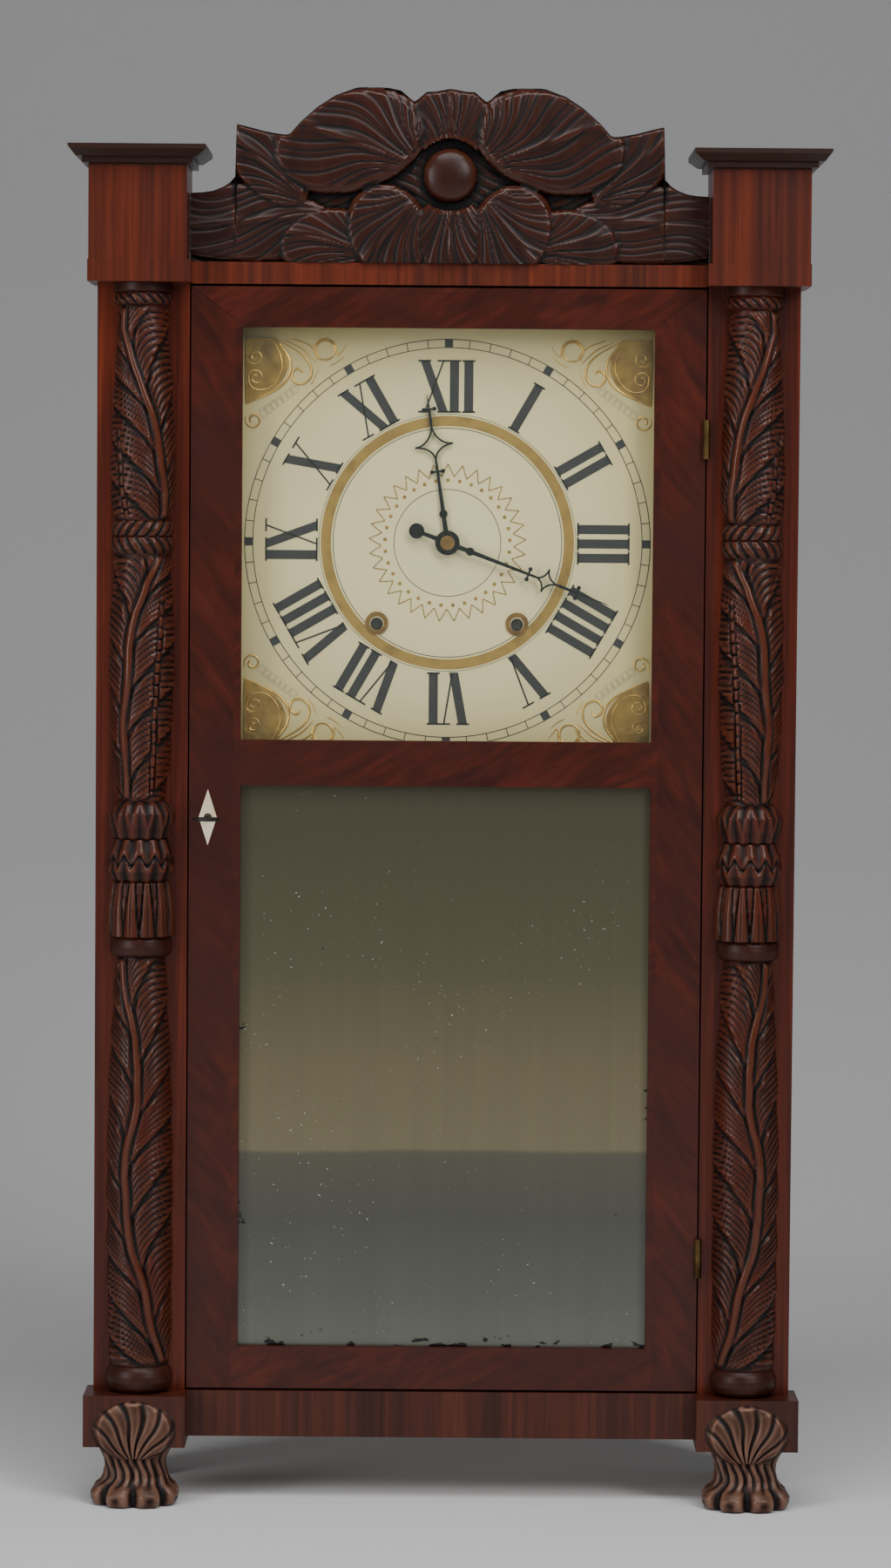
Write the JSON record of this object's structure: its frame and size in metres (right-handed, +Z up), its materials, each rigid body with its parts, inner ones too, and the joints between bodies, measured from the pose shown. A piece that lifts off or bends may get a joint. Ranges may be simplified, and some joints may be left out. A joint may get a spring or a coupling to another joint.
{
  "type": "shelf clock",
  "caption": "Tall carved shelf clock with half columns, paw feet, a scrolled crest, a glazed and mirrored door and a weight driven wooden striking movement.",
  "frame": {"origin": "centre of the bounding box on the floor the feet stand on", "axes": "+Z up, +X to the viewer's right, the front faces -Y"},
  "size_m": [0.491, 0.145, 0.9246],
  "materials": {
    "mahogany": "polished mahogany veneer",
    "dark_carving": "dark stained carved mahogany",
    "pale_wood": "plain pine and oak",
    "cherry": "cherry movement wood",
    "painted_dial": "cream painted",
    "glass": "clear",
    "mirror": "aged silvering",
    "brass": "satin",
    "iron": "dark iron",
    "blued_steel": "blued",
    "ivory": "bone",
    "cord": "linen cord",
    "bell_metal": "cast bell metal"
  },
  "bodies": {
    "case": {"side_boards": "mahogany", "back_board": "pale_wood", "bottom_board": "pale_wood", "base_rail": "mahogany", "top_board": "mahogany", "pilaster_left": "mahogany", "pilaster_right": "mahogany", "tower_left": "mahogany", "tower_right": "mahogany", "splat": "dark_carving", "half_column_left": "dark_carving", "half_column_right": "dark_carving", "base_block_left": "mahogany", "base_block_right": "mahogany", "paw_foot_left": "dark_carving", "paw_foot_right": "dark_carving", "rear_feet": "dark_carving", "partitions": "pale_wood", "dial_board": "painted_dial", "movement_back_plate": "cherry", "movement_front_plate": "cherry", "movement_pillars": "cherry", "bell": "bell_metal", "case_hinge_leaves": "brass", "time_cord_run": "cord", "strike_cord_run": "cord", "time_cord_fall": "cord", "strike_cord_fall": "cord"},
    "door": {"door_stile_left": "mahogany", "door_stile_right": "mahogany", "door_rail_top": "mahogany", "door_rail_middle": "mahogany", "door_rail_bottom": "mahogany", "door_glass": "glass", "door_mirror": "mirror", "mirror_backboard": "pale_wood", "door_hinge_leaves": "brass", "key_escutcheon": "ivory", "door_lock": "iron"},
    "key": {"key": "brass"},
    "lock_bolt": {"lock_bolt": "iron"},
    "minute_hand": {"minute_hand": "blued_steel"},
    "hour_hand": {"hour_hand": "blued_steel"},
    "minute_wheel": {"minute_wheel": "cherry"},
    "time_great_wheel": {"time_great_wheel": "cherry"},
    "time_drum": {"time_drum": "cherry"},
    "centre_wheel": {"centre_wheel": "cherry"},
    "third_wheel": {"third_wheel": "cherry"},
    "escape_wheel": {"escape_wheel": "brass"},
    "verge": {"verge": "iron"},
    "pendulum": {"pendulum": "brass"},
    "time_pulley": {"time_pulley": "cherry"},
    "time_weight": {"time_weight": "iron"},
    "strike_great_wheel": {"strike_great_wheel": "cherry"},
    "strike_drum": {"strike_drum": "cherry"},
    "pin_wheel": {"pin_wheel": "cherry"},
    "fly": {"fly": "cherry"},
    "hammer": {"hammer": "iron"},
    "strike_pulley": {"strike_pulley": "cherry"},
    "strike_weight": {"strike_weight": "iron"}
  },
  "joints": [
    {"name": "door_hinge", "type": "hinge", "parent": "case", "child": "door", "pos_m": [0.168, -0.038, 0.43], "axis": [0, 0, 1], "range_deg": [0, 115]},
    {"name": "key_turn", "type": "hinge", "parent": "door", "child": "key", "pos_m": [-0.1552, -0.0355, 0.4495], "axis": [0, 1, 0], "range_deg": [0, 90]},
    {"name": "bolt_slide", "type": "slide", "parent": "door", "child": "lock_bolt", "axis": [-1, 0, 0], "range_m": [0, 0.005]},
    {"name": "minute_turn", "type": "hinge", "parent": "case", "child": "minute_hand", "pos_m": [0, 0, 0.6297], "axis": [0, 1, 0], "continuous": true},
    {"name": "minute_wheel_turn", "type": "hinge", "parent": "case", "child": "minute_wheel", "pos_m": [0.01532, 0, 0.61684], "axis": [0, 1, 0], "continuous": true},
    {"name": "hour_turn", "type": "hinge", "parent": "case", "child": "hour_hand", "pos_m": [0, 0, 0.6297], "axis": [0, 1, 0], "continuous": true},
    {"name": "escape_turn", "type": "hinge", "parent": "case", "child": "escape_wheel", "pos_m": [-0.01201, 0, 0.67923], "axis": [0, 1, 0], "continuous": true},
    {"name": "third_turn", "type": "hinge", "parent": "case", "child": "third_wheel", "pos_m": [0.00598, 0, 0.6591], "axis": [0, 1, 0], "continuous": true},
    {"name": "centre_turn", "type": "hinge", "parent": "case", "child": "centre_wheel", "pos_m": [0, 0.03, 0.6297], "axis": [0, 1, 0], "continuous": true},
    {"name": "time_great_turn", "type": "hinge", "parent": "case", "child": "time_great_wheel", "pos_m": [0.046, 0.025, 0.5762], "axis": [0, 1, 0], "continuous": true},
    {"name": "time_weight_rise", "type": "slide", "parent": "case", "child": "time_weight", "axis": [0, 0, 1], "range_m": [0, 0.45], "deforming": ["time_cord_fall"]},
    {"name": "strike_weight_rise", "type": "slide", "parent": "case", "child": "strike_weight", "axis": [0, 0, 1], "range_m": [0, 0.45], "deforming": ["strike_cord_fall"]},
    {"name": "time_drum_turn", "type": "hinge", "parent": "case", "child": "time_drum", "pos_m": [0.046, 0.04, 0.5762], "axis": [0, 1, 0], "range_deg": [0, 1713.17]},
    {"name": "time_pulley_turn", "type": "hinge", "parent": "case", "child": "time_pulley", "pos_m": [0.1717, 0.039, 0.7777], "axis": [0, 1, 0], "range_deg": [-1772.04, 0]},
    {"name": "strike_drum_turn", "type": "hinge", "parent": "case", "child": "strike_drum", "pos_m": [-0.046, 0.036, 0.5762], "axis": [0, 1, 0], "range_deg": [-903.1, 0]},
    {"name": "strike_pulley_turn", "type": "hinge", "parent": "case", "child": "strike_pulley", "pos_m": [-0.1717, 0.036, 0.7777], "axis": [0, 1, 0], "range_deg": [0, 1772.04]},
    {"name": "pendulum_swing", "type": "hinge", "parent": "case", "child": "pendulum", "pos_m": [-0.01201, 0, 0.70573], "axis": [0, 1, 0], "range_deg": [-3, 3]},
    {"name": "verge_rock", "type": "hinge", "parent": "case", "child": "verge", "pos_m": [-0.01201, 0.007, 0.70573], "axis": [0, 1, 0], "range_deg": [-3, 3]},
    {"name": "fly_turn", "type": "hinge", "parent": "case", "child": "fly", "pos_m": [-0.0501, 0.03, 0.6687], "axis": [0, 1, 0], "continuous": true},
    {"name": "pin_wheel_turn", "type": "hinge", "parent": "case", "child": "pin_wheel", "pos_m": [-0.05801, 0.036, 0.64573], "axis": [0, 1, 0], "continuous": true},
    {"name": "strike_great_turn", "type": "hinge", "parent": "case", "child": "strike_great_wheel", "pos_m": [-0.046, 0.046, 0.5762], "axis": [0, 1, 0], "continuous": true},
    {"name": "hammer_swing", "type": "hinge", "parent": "case", "child": "hammer", "pos_m": [-0.084, 0.04, 0.6397], "axis": [0, 1, 0], "range_deg": [0, 3.5]}
  ],
  "couplings": [
    {"joint": "key_turn", "follows": "bolt_slide", "rad_per_m": 314.16},
    {"joint": "minute_wheel_turn", "follows": "minute_turn", "ratio": -0.25},
    {"joint": "hour_turn", "follows": "minute_turn", "ratio": 0.083333},
    {"joint": "third_turn", "follows": "escape_turn", "ratio": -0.11111},
    {"joint": "centre_turn", "follows": "escape_turn", "ratio": 0.012346},
    {"joint": "time_great_turn", "follows": "escape_turn", "ratio": -0.0020576},
    {"joint": "time_drum_turn", "follows": "time_weight_rise", "rad_per_m": 66.445},
    {"joint": "time_pulley_turn", "follows": "time_weight_rise", "rad_per_m": -68.729},
    {"joint": "strike_drum_turn", "follows": "strike_weight_rise", "rad_per_m": -35.026},
    {"joint": "strike_pulley_turn", "follows": "strike_weight_rise", "rad_per_m": 68.729},
    {"joint": "verge_rock", "follows": "pendulum_swing", "ratio": 1},
    {"joint": "pin_wheel_turn", "follows": "strike_great_turn", "ratio": -6},
    {"joint": "fly_turn", "follows": "strike_great_turn", "ratio": 48}
  ]
}
